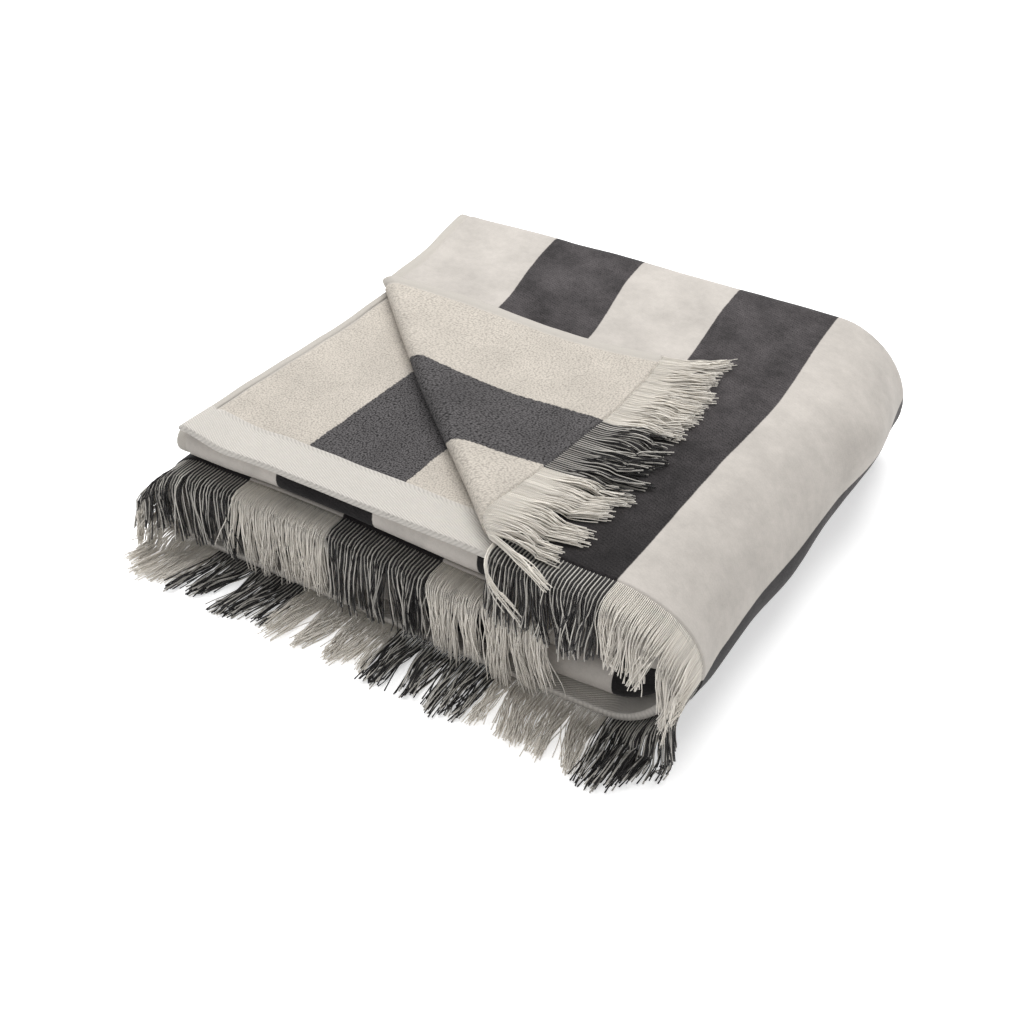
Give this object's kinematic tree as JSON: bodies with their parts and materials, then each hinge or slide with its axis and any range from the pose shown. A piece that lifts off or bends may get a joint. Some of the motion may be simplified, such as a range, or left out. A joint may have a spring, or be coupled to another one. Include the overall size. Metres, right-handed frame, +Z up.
{
  "type": "folded beach towel",
  "caption": "Wide-striped cotton beach towel with a fringed end, folded into a square pack with the top corner turned back to show the looped side.",
  "frame": {"origin": "centre of the folded towel's bounding box, at the height of the surface it lies on", "axes": "+Z up; +Y from the fringed front to the folded back; +X from the left turn to the wide right turn"},
  "size_m": [0.364, 0.3644, 0.0976],
  "materials": {
    "striped_cotton": "cream and charcoal stripes, cut velour on one face and looped terry on the other",
    "cream_yarn": "loose cream cotton yarn",
    "charcoal_yarn": "loose charcoal cotton yarn mixed with pale yarn"
  },
  "bodies": {
    "root": {"towel_cloth": "striped_cotton", "fringe_01": "cream_yarn", "fringe_02": "charcoal_yarn", "fringe_03": "cream_yarn", "fringe_04": "charcoal_yarn", "fringe_05": "cream_yarn", "fringe_06": "charcoal_yarn", "fringe_07": "cream_yarn", "fringe_08": "charcoal_yarn", "fringe_09": "cream_yarn", "fringe_10": "charcoal_yarn", "fringe_11": "cream_yarn", "fringe_12": "charcoal_yarn", "fringe_13": "cream_yarn", "fringe_14": "charcoal_yarn", "fringe_15": "cream_yarn"}
  },
  "joints": []
}
